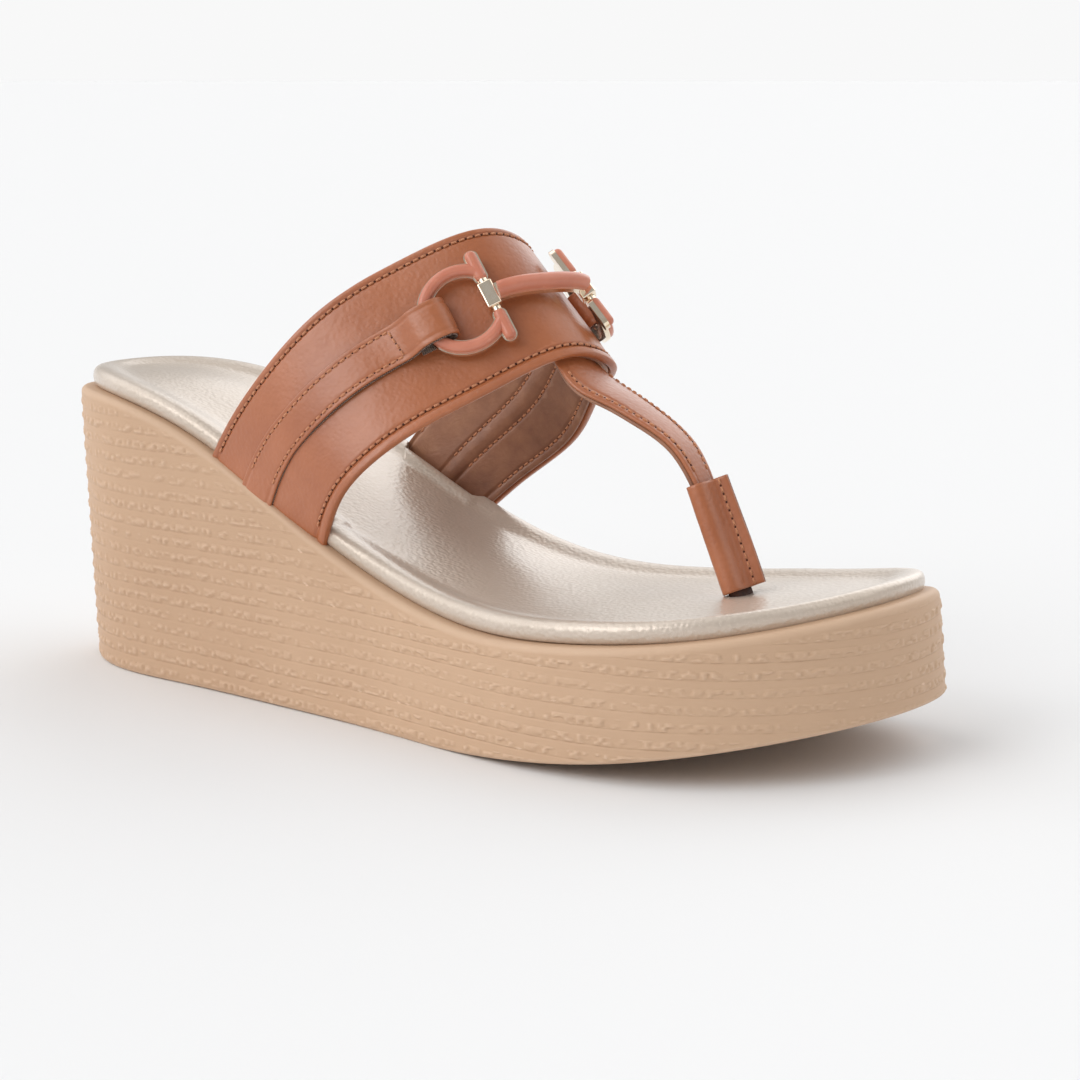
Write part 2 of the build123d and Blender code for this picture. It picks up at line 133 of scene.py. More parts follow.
# Rings of a needle hole's stud as (share of its radius, height).
HOLE_RIM, HOLE_LIP, HOLE_FOOT = (1.0, 0.04), (0.7, 0.06), (0.9, -0.15)
HOLE_BOTTOM = 0.02
METAL_EDGE_RADIUS = 0.3


# ---- curves and noise ----
def smooth_curve(points, closed=False):
    """Function of 0 to 1 that runs smoothly through the points."""
    p = np.array(points, float)
    if closed:
        p = np.vstack([p, p[:1]])
    place = np.r_[0, np.cumsum(np.linalg.norm(np.diff(p, axis=0), axis=1))]
    place = place / place[-1]
    gap = np.diff(place)
    slope = np.diff(p, axis=0) / gap[:, None]
    count = len(p)
    system, right = np.zeros((count, count)), np.zeros_like(p)
    for i in range(1, count - 1):
        system[i, i - 1:i + 2] = gap[i], 2 * (gap[i - 1] + gap[i]), gap[i - 1]
        right[i] = 3 * (gap[i] * slope[i - 1] + gap[i - 1] * slope[i])
    if closed:
        system[0, [0, 1, count - 2]] = 2 * (gap[-1] + gap[0]), gap[-1], gap[0]
        right[0] = 3 * (gap[0] * slope[-1] + gap[-1] * slope[0])
        system[-1, [0, -1]] = -1, 1
    else:
        system[0, 0] = system[-1, -1] = 1
        right[0] = slope[0] + (slope[0] - slope[1]) * gap[0] / (gap[0] + gap[1])
        right[-1] = slope[-1] + (slope[-1] - slope[-2]) * gap[-1] / (gap[-1] + gap[-2])
    tangent = np.linalg.solve(system, right)

    def at(t):
        t = np.asarray(t, float)
        t = t % 1.0 if closed else np.clip(t, 0, 1)
        i = np.clip(np.searchsorted(place, t, side="right") - 1, 0, count - 2)
        u = ((t - place[i]) / gap[i])[..., None]
        width = gap[i][..., None]
        start = p[i] * (1 + 2 * u) + tangent[i] * width * u
        end = p[i + 1] * (3 - 2 * u) - tangent[i + 1] * width * (1 - u)
        return start * (1 - u) ** 2 + end * u ** 2

    return at


def height_curve(points):
    """Height as a function of x for a side-view line."""
    curve = smooth_curve(points)
    table = curve(np.linspace(0, 1, 2000))
    return lambda x: np.interp(x, table[:, 0], table[:, 1])


def noise_field(seed, size=64):
    """Smooth noise from 0 to 1 over a repeating table of size by size cells."""
    table = np.random.RandomState(seed).rand(size, size)

    def at(x, y):
        i, j = np.floor(x).astype(int), np.floor(y).astype(int)
        u, v = x - i, y - j
        u, v = u * u * (3 - 2 * u), v * v * (3 - 2 * v)
        i, next_i, j, next_j = i % size, (i + 1) % size, j % size, (j + 1) % size
        low = table[i, j] * (1 - u) + table[next_i, j] * u
        high = table[i, next_j] * (1 - u) + table[next_i, next_j] * u
        return low * (1 - v) + high * v

    return at


def ease(value):
    """Smooth step from 0 to 1."""
    value = np.clip(value, 0, 1)
    return value * value * (3 - 2 * value)


def bump(value, centre, half):
    """Rounded hump of height 1 around a centre."""
    return np.exp(-((value - centre) / half) ** 2)


def unit(vectors):
    """The vectors at length 1."""
    return vectors / np.maximum(np.linalg.norm(vectors, axis=-1, keepdims=True), 1e-12)


# ---- meshes ----
def add_piece(name, points, faces, material, stands_for=()):
    """Smooth mesh piece from drawing millimetres, riding on the body of leather and sole."""
    mesh = bpy.data.meshes.new(name)
    mesh.from_pydata(((np.asarray(points) + SHIFT) * MM).tolist(), [], faces)
    mesh.polygons.foreach_set("use_smooth", [True] * len(mesh.polygons))
    mesh.materials.append(material)
    mesh.update()
    piece = bpy.data.objects.new(name, mesh)
    bpy.context.scene.collection.objects.link(piece)
    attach(piece, "sandal")
    if stands_for:
        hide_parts(*stands_for)
    return piece


def grid_faces(rows, columns, wrap_rows=False, wrap_columns=False, first=0):
    """Faces of a grid of points stored row by row."""
    faces = []
    for i in range(rows if wrap_rows else rows - 1):
        below, above = first + i * columns, first + (i + 1) % rows * columns
        for j in range(columns if wrap_columns else columns - 1):
            k = (j + 1) % columns
            faces.append((below + j, below + k, above + k, above + j))
    return faces


def sweep(name, surface, section, t_values, material, stands_for=()):
    """Closed section of (s, depth) carried along a strap surface, with capped ends."""
    s, depth = np.array(section).T
    s_grid, t_grid = np.meshgrid(s, t_values)
    position, _, _, normal = surface(s_grid, t_grid)
    points = (position + normal * depth[None, :, None]).reshape(-1, 3)
    faces = grid_faces(len(t_values), len(s), wrap_columns=True)
    last = (len(t_values) - 1) * len(s)
    faces.append(tuple(reversed(range(len(s)))))
    faces.append(tuple(range(last, last + len(s))))
    return add_piece(name, points, faces, material, stands_for)


def flat(depth):
    """Face of a strap layer at one depth."""
    return lambda s: np.full_like(s, depth)


def strap_section(width, top, bottom, edge, marks=(), steps=9, back_step=1, start=0.0):
    """Closed section of a strap layer with rounded edges and finer steps at the marks.

    top(s) and bottom(s) give its faces' depths, s from its rear edge, which lies at start.
    Its underside keeps one point in back_step.
    """
    mark_reach, mark_steps = 1.2, 13
    spread = [np.linspace(edge, width - edge, max(int(width * SECTION_STEPS_PER_MM), steps))]
    spread += [np.linspace(mark - mark_reach, mark + mark_reach, mark_steps) for mark in marks]
    across = np.unique(np.clip(np.concatenate(spread), edge, width - edge))
    upper, lower = top(across), bottom(across)
    turns = np.radians(np.linspace(90, -90, 9)[1:-1])

    def rounded(base, side, low, high):
        middle, radius = (low + high) / 2, (high - low) / 2
        return [(base + side * math.cos(a) * edge, middle + math.sin(a) * radius) for a in turns]

    points = list(zip(across, upper))
    points += rounded(width - edge, 1, lower[-1], upper[-1])
    points += list(zip(across[::-back_step], lower[::-back_step]))
    points += rounded(edge, -1, lower[0], upper[0])[::-1]
    return [(start + s, depth) for s, depth in points]


def stitch_row(name, place, count):
    """Row of thread stitches; place(i) gives a point, the row's direction and the normal."""
    rings, sides = 7, 8
    along = np.linspace(-1, 1, rings)
    girth = np.sqrt(np.clip(1 - (along * 0.97) ** 6, 0, 1))
    sink = 0.35 - 1.15 * along ** 4
    angle = np.arange(sides) * 2 * math.pi / sides
    points, faces = [], []
    for k in range(count):
        middle, forward, normal = place(k)
        side = np.cross(normal, forward)
        first = len(points)
        for i in range(rings):
            centre = middle + forward * along[i] * STITCH_LENGTH / 2
            centre = centre + normal * sink[i] * STITCH_RADIUS
            radius = girth[i] * STITCH_RADIUS
            points += [centre + (side * math.cos(a) + normal * math.sin(a)) * radius
                       for a in angle]
        faces += grid_faces(rings, sides, wrap_columns=True, first=first)
        faces.append(tuple(reversed(range(first, first + sides))))
        faces.append(tuple(range(first + (rings - 1) * sides, first + rings * sides)))
    return add_piece(name, points, faces, THREAD)


def hole_row(name, place, count):
    """Row of needle holes between the stitches, as low studs whose dark colour is painted shade
    inside the holes.
    """
    sides = 8
    angle = np.arange(sides) * 2 * math.pi / sides
    points, faces = [], []

    def add_ring(share, height):
        radius = share * HOLE_RADIUS
        points.extend(middle + (side * math.cos(a) + forward * math.sin(a)) * radius
                      + normal * height for a in angle)

    for k in range(count):
        middle, forward, normal = place(k + 0.5)
        side = np.cross(normal, forward)
        rim = len(points)
        lip, centre, foot = rim + sides, rim + 2 * sides, rim + 2 * sides + 1
        add_ring(*HOLE_RIM)
        add_ring(*HOLE_LIP)
        points.append(middle + normal * HOLE_BOTTOM)
        add_ring(*HOLE_FOOT)
        faces += grid_faces(2, sides, wrap_columns=True, first=rim)
        for a in range(sides):
            b = (a + 1) % sides
            faces += [(lip + a, lip + b, centre), (foot + a, foot + b, rim + b, rim + a)]
        faces.append(tuple(reversed(range(foot, foot + sides))))
    return add_piece(name, points, faces, HOLE_SHADE)


def surface_row(surface, across, t_span, lift):
    """Places spaced by the stitch pitch along a strap: across(t) gives s, t_span its ends."""
    reach = 0.4
    t = np.linspace(t_span[0], t_span[1], 1500)
    s = across(t)
    position, _, _, normal = surface(s, t)
    points = position + normal * lift
    run = np.r_[0, np.cumsum(np.linalg.norm(np.diff(points, axis=0), axis=1))]
    count = int(run[-1] / STITCH_PITCH)

    def read(values, at):
        return np.array([np.interp(at, run, values[:, i]) for i in range(3)])

    def place(k):
        at = (k + 0.5) * run[-1] / count
        forward = unit(read(points, at + reach) - read(points, at - reach))
        return read(points, at), forward, unit(read(normal, at))

    return place, count


def sewn_row(name, surface, across, t_span, lift):
    """Stitches with their needle holes along a strap."""
    place, count = surface_row(surface, across, t_span, lift)
    stitch_row(name, place, count)
    hole_row(name + "_holes", place, count - 1)


def straight(s):
    """Line that keeps its distance across a strap."""
    return lambda t: np.full_like(t, s)


# ---- the part's surfaces ----
REAR_CURVE = smooth_curve(BAND_REAR_EDGE)
FRONT_CURVE = smooth_curve(BAND_FRONT_EDGE)
TOP_HEIGHT = height_curve(TOP_LINE)
SPRING_HEIGHT = height_curve(TOE_SPRING)


def band_surface(s_mm, t):
    """Band's outer face: point, s direction, t direction and normal."""
    rear, front = REAR_CURVE(t), FRONT_CURVE(t)
    share = (np.asarray(s_mm) / BAND_WIDTH)[..., None]
    step = 1e-3
    ahead = REAR_CURVE(t + step) * (1 - share) + FRONT_CURVE(t + step) * share
    behind = REAR_CURVE(t - step) * (1 - share) + FRONT_CURVE(t - step) * share
    across, along = unit(front - rear), unit(ahead - behind)
    normal = unit(np.cross(across, along))
    return rear + (front - rear) * share, across, along, normal


def band_frame(s, t, lift, forward):
    """Plane on the band: origin, x along the band, y and z off it."""
    point, across, along, normal = band_surface(np.array(s * BAND_WIDTH), np.array(t))
    x_axis = along * forward
    return point + normal * lift, x_axis, np.cross(normal, x_axis), normal


def tab_surface(ring_at, foot_at):
    """Surface of a leather tab from its foot to the end of its loop round the ring."""
    forward = 1 if ring_at > foot_at else -1
    foot = (foot_at - ring_at) * BAND_LENGTH * forward
    flat = TAB_LIFT - RING_SEAT
    path = smooth_curve([(foot, flat), (foot * 0.6, flat)] + TAB_LOOP)
    origin, x_axis, y_axis, z_axis = band_frame(RING_ACROSS, ring_at, RING_SEAT, forward)

    def middle(s_mm, t):
        place = path(t)
        x, z = place[..., 0], place[..., 1]
        share = np.clip((x - foot - TAB_BURIED) / (-foot - TAB_BURIED), 0, 1)
        across = (TAB_AT_FOOT + (TAB_AT_RING - TAB_AT_FOOT) * share) * BAND_WIDTH + s_mm * forward
        along = ring_at + x * forward / BAND_LENGTH
        on_band, _, _, normal = band_surface(across, along)
        pressed = TAB_FOOT_PRESS * ease((foot + TAB_PRESS_LENGTH - x) / TAB_PRESS_FADE)
        on_band = on_band + normal * (z + RING_SEAT - pressed)[..., None]
        at_ring = (origin + x_axis * x[..., None] - y_axis * np.asarray(s_mm)[..., None]
                   + z_axis * z[..., None])
        reach = ease((x - TAB_LEAVES_RING) / (TAB_MEETS_BAND - TAB_LEAVES_RING))
        return at_ring + (on_band - at_ring) * reach[..., None]

    def surface(s_mm, t):
        step = 2e-3
        s_mm, t = np.asarray(s_mm, float), np.asarray(t, float)
        point = middle(s_mm, t)
        across = unit(middle(s_mm + 0.1, t) - middle(s_mm - 0.1, t))
        along = unit(middle(s_mm, t + step) - middle(s_mm, t - step))
        return point, across, along, unit(np.cross(across, along))

    return surface, path


def toe_strap_lines():
    """The strap's big-toe edge, middle and little-toe edge lines."""
    lines = []
    for side in (1, 0, -1):
        tucked = [band_frame(s, TOE_STRAP_AT + side * TOE_STRAP_TUCK_HALF, -TOE_STRAP_TUCK, 1)[0]
                  for s in TOE_STRAP_TUCKED]
        free = []
        for i, (x, z) in enumerate(TOE_STRAP_PATH):
            half = TOE_STRAP_HALF_WIDTHS[i]
            bow = TOE_STRAP_BOW * (1 - i / (len(TOE_STRAP_PATH) - 1)) * (side * half) ** 2
            free.append((x, TOE_STRAP_Y + side * half, z - bow))
        lines.append(smooth_curve([tuple(p) for p in tucked] + free))
    return lines


STRAP_LINES = toe_strap_lines()


def toe_strap_surface(s, t):
    """Toe strap's upper face: s from -1 to 1 across, t from the band to the post."""

    def point(s, t):
        inner, middle, outer = [line(t) for line in STRAP_LINES]
        s = np.asarray(s)[..., None]
        return inner * (s * s - s) / 2 + middle * (1 - s * s) + outer * (s * s + s) / 2

    step = 1e-3
    across = unit(point(s + 0.01, t) - point(s - 0.01, t))
    along = unit(point(s, t + step) - point(s, t - step))
    return point(s, t), across, along, unit(np.cross(across, along))


def sole_outline(shifts):
    """Closed outline of the sole after each point moves out by the heel-to-toe shifts."""
    moved = []
    for i, (x, y) in enumerate(GROUND_OUTLINE):
        before = GROUND_OUTLINE[i - 1]
        after = GROUND_OUTLINE[(i + 1) % len(GROUND_OUTLINE)]
        along = Vector((after[0] - before[0], after[1] - before[1])).normalized()
        share = (x + SHOE_HALF_LENGTH) / (2 * SHOE_HALF_LENGTH)
        shift = shifts[0] + (shifts[1] - shifts[0]) * min(max(share, 0), 1)
        moved.append((x + along.y * shift, y - along.x * shift))
    return smooth_curve(moved, closed=True)


def rim_outline(inset):
    """Outline at the sole's top rim, moved in by the inset."""
    return sole_outline([shift - inset for shift in WALL_AT_TOP_LINE])


# ---- materials ----
def tone(red, green, blue):
    """Linear colour from 0 to 255 display values."""
    values = []
    for value in (red, green, blue):
        v = value / 255
        values.append(v / 12.92 if v <= 0.04045 else ((v + 0.055) / 1.055) ** 2.4)
    return (*values, 1.0)


class Finish:
    """Principled material whose detail comes from object-space texture nodes."""

    def __init__(self, name, **values):
        self.material = bpy.data.materials.new(name)
        self.material.use_nodes = True
        self.tree = self.material.node_tree
        self.shader = self.tree.nodes["Principled BSDF"]
        for socket, value in values.items():
            self.shader.inputs[socket.replace("_", " ")].default_value = value
        self.place = self.tree.nodes.new("ShaderNodeTexCoord").outputs["Object"]

    def node(self, kind, **settings):
        made = self.tree.nodes.new(kind)
        for name, value in settings.items():
            setattr(made, name, value)
        return made

    def link(self, value, socket):
        if isinstance(value, bpy.types.NodeSocket):
            self.tree.links.new(value, socket)
        else:
            socket.default_value = value

    def stretched(self, x, y, z):
        """Object coordinates scaled along each axis."""
        mapping = self.node("ShaderNodeMapping")
        self.link(self.place, mapping.inputs["Vector"])
        mapping.inputs["Scale"].default_value = (x, y, z)
        return mapping.outputs["Vector"]

    def noise(self, scale, detail=3.0, rough=0.55, vector=None, warp=0.0):
        made = self.node("ShaderNodeTexNoise")
        self.link(vector or self.place, made.inputs["Vector"])
        made.inputs["Scale"].default_value = scale
        made.inputs["Detail"].default_value = detail
        made.inputs["Roughness"].default_value = rough
        made.inputs["Distortion"].default_value = warp
        return made.outputs["Fac"]

    def cells(self, scale, feature="SMOOTH_F1"):
        made = self.node("ShaderNodeTexVoronoi", feature=feature)
        self.link(self.place, made.inputs["Vector"])
        made.inputs["Scale"].default_value = scale
        return made.outputs["Distance"]

    def weave(self, scale, direction):
        made = self.node("ShaderNodeTexWave", wave_type="BANDS", bands_direction=direction)
        self.link(self.place, made.inputs["Vector"])
        made.inputs["Scale"].default_value = scale
        made.inputs["Distortion"].default_value = 0.6
        return made.outputs["Fac"]

    def ramp(self, value, stops):
        made = self.node("ShaderNodeValToRGB")
        self.link(value, made.inputs["Fac"])
        while len(made.color_ramp.elements) < len(stops):
            made.color_ramp.elements.new(0.5)
        for element, (position, colour) in zip(made.color_ramp.elements, stops):
            element.position, element.color = position, colour
        return made.outputs["Color"]

    def mix(self, factor, first, second, blend="MIX"):
        made = self.node("ShaderNodeMix", data_type="RGBA", blend_type=blend)
        self.link(factor, made.inputs[0])
        self.link(first, made.inputs[6])
        self.link(second, made.inputs[7])
        return made.outputs[2]

    def combine(self, operation, first, second):
        made = self.node("ShaderNodeMath", operation=operation)
        self.link(first, made.inputs[0])
        self.link(second, made.inputs[1])
        return made.outputs[0]

    def span(self, value, low, high):
        """The value from 0 to 1 as a value from low to high."""
        made = self.node("ShaderNodeMapRange")
        self.link(value, made.inputs["Value"])
        made.inputs["To Min"].default_value = low
        made.inputs["To Max"].default_value = high
        return made.outputs["Result"]

    def edge_wear_and_painted_light(self, colour, edge_colour, amount, start=0.52, end=0.62):
        """Second colour along outer edges, or in hollows when the range is below a half. It gives
        the strap and lining leathers edge wear, lightens the outer edges of the footbed and the
        resin, and on the wedge paints shade in its hollows and a highlight on its ridges.
        """
        point = self.node("ShaderNodeNewGeometry").outputs["Pointiness"]
        edge = self.node("ShaderNodeMapRange")
        self.link(point, edge.inputs["Value"])
        edge.inputs["From Min"].default_value = start
        edge.inputs["From Max"].default_value = end
        edge.inputs["To Max"].default_value = amount
        return self.mix(edge.outputs["Result"], colour, edge_colour)

    def relief(self, layers):
        """Stacks bump layers of (height, distance in millimetres, strength)."""
        normal = None
        for height, distance, strength in layers:
            made = self.node("ShaderNodeBump")
            self.link(height, made.inputs["Height"])
            made.inputs["Distance"].default_value = distance * MM
            made.inputs["Strength"].default_value = strength
            if normal:
                self.link(normal, made.inputs["Normal"])
            normal = made.outputs["Normal"]
        self.link(normal, self.shader.inputs["Normal"])

    def colour(self, value):
        self.link(value, self.shader.inputs["Base Color"])

    def roughness(self, value):
        self.link(value, self.shader.inputs["Roughness"])


def strap_leather():
    """Smooth coated leather with fine pores, soft creases and a lighter edge."""
    dark, middle, light = tone(155, 84, 45), tone(170, 98, 57), tone(188, 116, 78)
    f = Finish("strap_leather", Specular_IOR_Level=0.55, Coat_Weight=0.5,
               Coat_Roughness=0.34)
    cloud = f.noise(45, 4, 0.6)
    fine = f.noise(900, 3, 0.6)
    base = f.ramp(cloud, [(0.2, dark), (0.5, middle), (0.85, light)])
    speckle = f.mix(f.span(fine, 0.0, 0.2), base, dark)
    f.colour(f.edge_wear_and_painted_light(speckle, light, 0.5))
    f.roughness(f.span(fine, 0.34, 0.48))
    f.relief([(f.noise(260, 5, 0.6, warp=1.2), 0.2, 0.55),
              (f.cells(1050), 0.16, 0.7),
              (f.noise(2400, 2, 0.5), 0.03, 0.4)])
    return f.material


def lining_leather():
    """Soft brown lining with long loose wrinkles."""
    f = Finish("lining_leather", Specular_IOR_Level=0.5, Sheen_Weight=0.15, Coat_Weight=0.35,
               Coat_Roughness=0.36)
    cloud = f.noise(70, 5, 0.65)
    base = f.ramp(cloud, [(0.3, tone(124, 78, 54)), (0.5, tone(150, 100, 72)),
                          (0.75, tone(176, 128, 96))])
    f.colour(f.edge_wear_and_painted_light(base, tone(176, 134, 110), 0.4))
    f.roughness(f.span(f.noise(700, 3), 0.42, 0.6))
    f.relief([(f.noise(120, 6, 0.65, f.stretched(1, 1.0, 1.6), 2.0), 0.35, 0.5),
              (f.cells(1300), 0.06, 0.5)])
    return f.material


def footbed_leather():
    """Pearly beige coated leather with a fine pebble, and painted glints: small near-white dots in
    its colour that stand for sparkle.
    """
    f = Finish("footbed_leather", Metallic=0.25, Specular_IOR_Level=0.65, Coat_Weight=0.55,
               Coat_Roughness=0.22)
    cloud = f.noise(22, 3, 0.5)
    base = f.ramp(cloud, [(0.3, tone(196, 180, 163)), (0.7, tone(207, 193, 179))])
    # Painted glints: tiny near-white dots mixed into the base colour stand in for sparkling
    # highlights.
    painted_glint = f.ramp(f.cells(2600, "F1"), [(0.0, (1, 1, 1, 1)), (0.22, (0, 0, 0, 1))])
    colour_with_painted_glints = f.mix(f.combine("MULTIPLY", painted_glint, 0.55), base, tone(250, 244, 236))
    f.colour(f.edge_wear_and_painted_light(colour_with_painted_glints, tone(240, 232, 222), 0.35))
    f.roughness(f.span(f.noise(1600, 2), 0.28, 0.42))
    f.relief([(f.cells(1000), 0.2, 0.8), (f.noise(620, 4, 0.6), 0.12, 0.5)])
    return f.material


def wedge_pu():
    """Moulded sole foam with fine streaks that run level round the wall, painted shade in its
    hollows and a painted highlight on its ridges and outer edges.
    """
    f = Finish("wedge_pu", Specular_IOR_Level=0.35)
    level = f.stretched(1, 1, 7)
    streak = f.noise(260, 4, 0.65, level)
    cloud = f.noise(14, 3, 0.5)
    base = f.ramp(cloud, [(0.3, tone(195, 161, 132)), (0.7, tone(205, 172, 143))])
    tint = f.mix(f.span(streak, 0.0, 0.3), base, tone(180, 145, 114))
    # Painted shade: darker colour where the wall's surface is hollow.
    painted_hollow_shade = f.edge_wear_and_painted_light(tint, tone(150, 114, 84), 0.5, 0.495, 0.43)
    # Painted highlight: lighter colour on the grain's ridges and the sole's outer edges.
    f.colour(f.edge_wear_and_painted_light(painted_hollow_shade, tone(228, 200, 174), 0.6, 0.505, 0.57))
    f.roughness(f.span(f.noise(420, 3, 0.6, level), 0.42, 0.6))
    f.relief([(streak, 0.10, 0.35), (f.noise(1500, 3), 0.03, 0.5)])
    return f.material


def gilt():
    """Polished pale gold plate with a faint brushed unevenness."""
    f = Finish("gilt", Metallic=1.0)
    soft = f.noise(300, 3)
    f.colour(f.ramp(soft, [(0.3, tone(244, 224, 196)), (0.7, tone(254, 242, 224))]))
    f.roughness(f.span(f.noise(900, 2), 0.08, 0.16))
    f.relief([(soft, 0.02, 0.3)])
    return f.material


def resin():
    """Satin enamel resin in the strap's colour."""
    f = Finish("resin", Specular_IOR_Level=0.5, Coat_Weight=0.25, Coat_Roughness=0.25,
               Subsurface_Weight=0.06, Subsurface_Scale=0.002)
    cloud = f.noise(160, 3)
    base = f.ramp(cloud, [(0.3, tone(194, 116, 90)), (0.7, tone(204, 128, 102))])
    f.colour(f.edge_wear_and_painted_light(base, tone(220, 150, 126), 0.3))
    f.roughness(f.span(f.noise(800, 3), 0.3, 0.42))
    f.relief([(f.noise(500, 3), 0.03, 0.25)])
    return f.material


def thread():
    """Twisted sewing thread."""
    f = Finish("thread", Sheen_Weight=0.2, Specular_IOR_Level=0.3)
    twist = f.noise(4200, 2)
    f.colour(f.ramp(twist, [(0.35, tone(176, 112, 78)), (0.65, tone(206, 146, 108))]))
    f.roughness(f.span(twist, 0.5, 0.75))
    f.relief([(twist, 0.05, 0.6)])
    return f.material


def needle_hole_shade():
    """Dark colour of a needle hole's stud: painted shade inside the hole."""
    f = Finish("needle_hole_shade", Specular_IOR_Level=0.2)
    f.colour(f.ramp(f.noise(2000, 2), [(0.4, tone(66, 34, 22)), (0.7, tone(92, 50, 34))]))
    f.roughness(f.span(f.noise(900, 2), 0.6, 0.8))
    return f.material


def woven_backing():
    """Grey-brown woven cloth that backs the tabs and the sleeve."""
    f = Finish("woven_backing", Sheen_Weight=0.3, Specular_IOR_Level=0.2)
    threads = f.combine("MULTIPLY", f.weave(900, "X"), f.weave(900, "Z"))
    f.colour(f.ramp(threads, [(0.1, tone(74, 62, 56)), (0.6, tone(176, 150, 132))]))
    f.roughness(f.span(threads, 0.7, 0.9))
    f.relief([(threads, 0.12, 0.8)])
    return f.material


def plain_core(name, dark, light, scale):
    """Rough material of an inner part."""
    f = Finish(name, Specular_IOR_Level=0.3)
    grain = f.noise(scale, 4, 0.6)
    f.colour(f.ramp(grain, [(0.3, dark), (0.7, light)]))
    f.roughness(f.span(grain, 0.5, 0.8))
    f.relief([(grain, 0.06, 0.5)])
    return f.material


# ---- the sole unit ----
def bridge(ring, first, start, columns, height, upward):
    """Closes a ring of stations with a grid across the shoe; height(x, y, share) gives z."""
    half = len(ring) // 2
    share = np.linspace(0, 1, columns + 1)[1:-1]
    points, rows, faces = [], [], []
    for i in range(1, half):
        near, far = ring[i], ring[-i]
        inner = near + (far - near) * share[:, None]
        inner[:, 2] = height(inner[:, 0], inner[:, 1], share)
        rows.append([first + i, *range(start + len(points), start + len(points) + len(share)),
                     first + len(ring) - i])
        points.extend(inner)
    for lower, upper in zip(rows, rows[1:]):
        for j in range(columns):
            faces.append((lower[j], lower[j + 1], upper[j + 1], upper[j]))
    for j in range(columns):
        faces.append((first, rows[0][j + 1], rows[0][j]))
        faces.append((first + half, rows[-1][j], rows[-1][j + 1]))
    if upward:
        faces = [tuple(reversed(face)) for face in faces]
    return points, faces


def grain_relief(run, z, room_below, room_above):
    """Outward relief of the moulded rows of marks at a distance along the wall and a height."""
    streaks, patches, waver = noise_field(11, 96), noise_field(12, 32), noise_field(13, 32)
    level = z + GRAIN_WAVER * (waver(run / 26, z / 9) - 0.5)
    phase = (level / GRAIN_PITCH) % 1.0
    band = np.clip(1 - ((phase - 0.5) / 0.27) ** 2, 0, 1) ** 0.6
    marks = np.clip((streaks(run / 1.05, z / 1.1) - 0.38) * 3.4, 0, 1)
    marks *= 0.6 + 0.4 * streaks(run / 0.9 + 40, z / 0.7)
    patch = 0.62 + 0.38 * ease((patches(run / 30, z / 7) - 0.2) * 2.4)
    step = 0.2 * bump(phase, 0.2, 0.06) * patch
    fade = ease(room_below / 1.5) * ease((room_above - 1.2) / 1.6)
    return GRAIN_DEPTH * (band * marks * patch - step) * fade


def tread_grooves(x, y_inset):
    """Depth of the tread grooves under the sole."""
    depth = np.zeros_like(x)
    for first, count in TREAD_GROOVES:
        for i in range(count):
            distance = np.abs(x - first - i * TREAD_GROOVE_PITCH)
            depth += ease((TREAD_GROOVE_WIDTH / 2 + 0.3 - distance) / 0.6)
    return TREAD_GROOVE_DEPTH * depth * ease((y_inset - TREAD_GROOVE_INSET) / 0.8)


def wedge_sole():
    """One-piece moulded wedge with a rounded top lip and layered grain."""
    stations, lip, foot = WALL_STATIONS, WALL_LIP_RADIUS, WALL_FOOT_RADIUS
    u = np.arange(stations) / stations
    low, high = sole_outline(WALL_AT_GROUND)(u), sole_outline(WALL_AT_LOFT_TOP)(u)
    tangent = unit(np.roll(low, -1, 0) - np.roll(low, 1, 0))
    outward = np.stack([tangent[:, 1], -tangent[:, 0]], axis=1)

    def wall(z):
        share = (z / LOFT_TOP)[:, None]
        return low * (1 - share) + high * share

    top = TOP_HEIGHT(low[:, 0])
    for _ in range(4):
        top = TOP_HEIGHT(wall(top)[:, 0])
    bottom = np.maximum(SPRING_HEIGHT(low[:, 0]), 0)
    run = np.r_[0, np.cumsum(np.linalg.norm(np.diff(low, axis=0), axis=1))]

    # Rows from the underside up the wall to the deck, as (inset, height).
    ground_inset = 5.0
    rows = []
    for inset in (ground_inset, 2.2, foot):
        rows.append((inset, bottom))
    for angle in np.radians((30, 60)):
        rows.append((foot * (1 - math.sin(angle)), bottom + foot * (1 - math.cos(angle))))
    grained = range(len(rows), len(rows) + WALL_ROWS)
    for share in np.linspace(0, 1, WALL_ROWS):
        rows.append((0, bottom + foot + (top - lip - bottom - foot) * share))
    for angle in np.radians((18, 36, 54, 72, 90)):
        rows.append((lip * (1 - math.cos(angle)), top - lip * (1 - math.sin(angle))))
    for inset in (2.4, 3.4, 4.6, 7.0):
        rows.append((inset, top))

    points = []
    for i, (inset, z) in enumerate(rows):
        out = np.full(stations, -inset, float)
        if i in grained:
            out += grain_relief(run, z, z - bottom, top - z)
        plan = wall(z) + outward * out[:, None]
        points.append(np.column_stack([plan, z]))
    faces = grid_faces(len(rows), stations, wrap_columns=True)
    cloud = np.vstack(points)

    def ground_height(x, y, share):
        room = ground_inset + 60 * np.minimum(share, 1 - share)
        return np.maximum(SPRING_HEIGHT(x), 0) + tread_grooves(x, room)

    def deck_height(x, y, share):
        return TOP_HEIGHT(x)

    ground, ground_faces = bridge(points[0], 0, len(cloud), 60, ground_height, False)
    deck, deck_faces = bridge(points[-1], len(cloud) - stations, len(cloud) + len(ground), 24,
                              deck_height, True)
    cloud = np.vstack([cloud, ground, deck])
    return add_piece("wedge", cloud, faces + ground_faces + deck_faces, wedge_pu(),
                     stands_for=["wedge_sole"])


